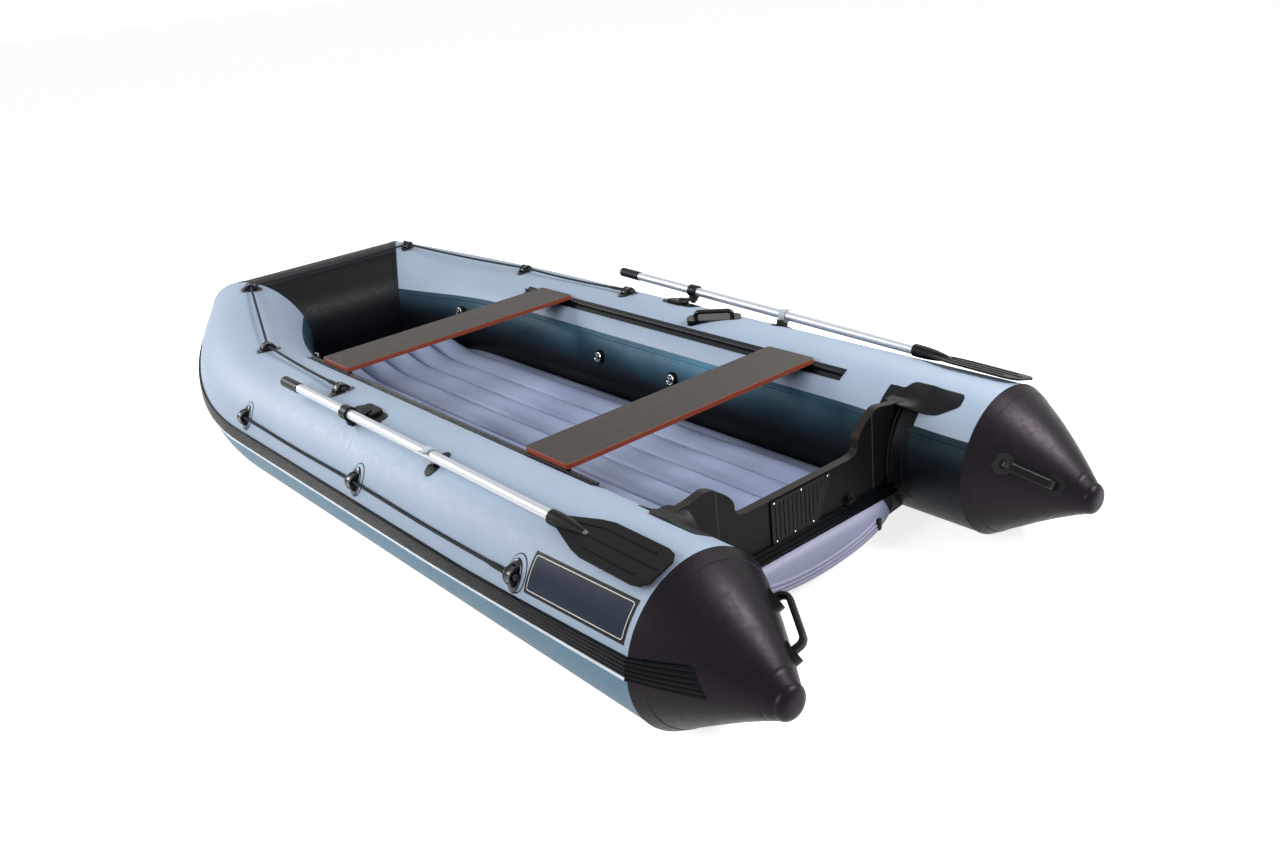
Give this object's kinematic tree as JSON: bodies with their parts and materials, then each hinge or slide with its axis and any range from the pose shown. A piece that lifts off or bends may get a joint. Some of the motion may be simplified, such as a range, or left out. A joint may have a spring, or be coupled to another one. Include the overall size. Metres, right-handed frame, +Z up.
{
  "type": "inflatable boat",
  "caption": "Inflatable boat with two side tubes, tapered stern cones, a blunt raised bow, a channelled floor, a transom with a motor well, sliding benches and swinging oars.",
  "frame": {"origin": "on the floor, under the middle of the boat's own length and beam", "axes": "+X to starboard, +Y to the bow, +Z up"},
  "size_m": [1.636, 3.4467, 0.5358],
  "materials": {
    "tube_grey": "satin",
    "bow_black": "satin",
    "cone_black": "satin",
    "floor_fabric": "satin",
    "black_fabric": "matte",
    "rail_rubber": "satin",
    "black_rubber": "matte",
    "black_plastic": "satin",
    "valve_plastic": "gloss",
    "board": "satin",
    "oar_metal": "satin",
    "black_rope": "matte",
    "steel": "satin"
  },
  "bodies": {
    "hull": {"bow_rail": "rail_rubber", "bow_tow_ring": "steel", "bow_tube": "bow_black", "carry_handle": "black_rubber", "clamp_plate": "black_plastic", "drain_plug": "black_plastic", "floor_tail": "floor_fabric", "inflatable_floor": "floor_fabric", "motor_plate": "black_plastic", "port_bench_rail": "black_plastic", "port_bow_quarter": "tube_grey", "port_bow_quarter_rail": "rail_rubber", "port_cone": "cone_black", "port_cone_cap": "black_plastic", "port_cone_handle": "black_rubber", "port_oar_clip": "black_plastic", "port_oarlock": "black_plastic", "port_outer_eyelets": "black_plastic", "port_outer_line": "black_rope", "port_rub_rail": "rail_rubber", "port_rub_rail_tail": "rail_rubber", "port_transom_flap": "black_fabric", "port_transom_holder": "black_fabric", "port_tube": "tube_grey", "port_valves": "valve_plastic", "starboard_bench_rail": "black_plastic", "starboard_bow_quarter": "tube_grey", "starboard_bow_quarter_rail": "rail_rubber", "starboard_cone": "cone_black", "starboard_cone_cap": "black_plastic", "starboard_cone_handle": "black_rubber", "starboard_oar_clip": "black_plastic", "starboard_oarlock": "black_plastic", "starboard_outer_eyelets": "black_plastic", "starboard_outer_line": "black_rope", "starboard_rub_rail": "rail_rubber", "starboard_rub_rail_tail": "rail_rubber", "starboard_transom_flap": "black_fabric", "starboard_transom_holder": "black_fabric", "starboard_tube": "tube_grey", "starboard_valves": "valve_plastic", "top_eyelets": "black_plastic", "top_line": "black_rope", "transom": "board", "transom_base": "black_plastic"},
    "starboard_oar": {"starboard_oar_shaft": "oar_metal", "starboard_oar_grip": "black_rubber", "starboard_oar_blade": "black_plastic", "starboard_oar_collar": "black_plastic"},
    "port_oar": {"port_oar_shaft": "oar_metal", "port_oar_grip": "black_rubber", "port_oar_blade": "black_plastic", "port_oar_collar": "black_plastic"},
    "fore_bench": {"fore_bench": "board", "fore_bench_runners": "black_plastic"},
    "aft_bench": {"aft_bench": "board", "aft_bench_runners": "black_plastic"}
  },
  "joints": [
    {"name": "starboard_oar_swing", "type": "hinge", "parent": "hull", "child": "starboard_oar", "pos_m": [0.706, -0.038, 0.46], "axis": [0.2584, -0.0252, 0.9657], "range_deg": [0, 140]},
    {"name": "port_oar_swing", "type": "hinge", "parent": "hull", "child": "port_oar", "pos_m": [-0.706, -0.038, 0.46], "axis": [0.2584, 0.0252, -0.9657], "range_deg": [0, 140]},
    {"name": "fore_bench_slide", "type": "slide", "parent": "hull", "child": "fore_bench", "axis": [0, 1, 0], "range_m": [-0.505, 0.115]},
    {"name": "aft_bench_slide", "type": "slide", "parent": "hull", "child": "aft_bench", "axis": [0, 1, 0], "range_m": [-0.11, 0.52]}
  ]
}
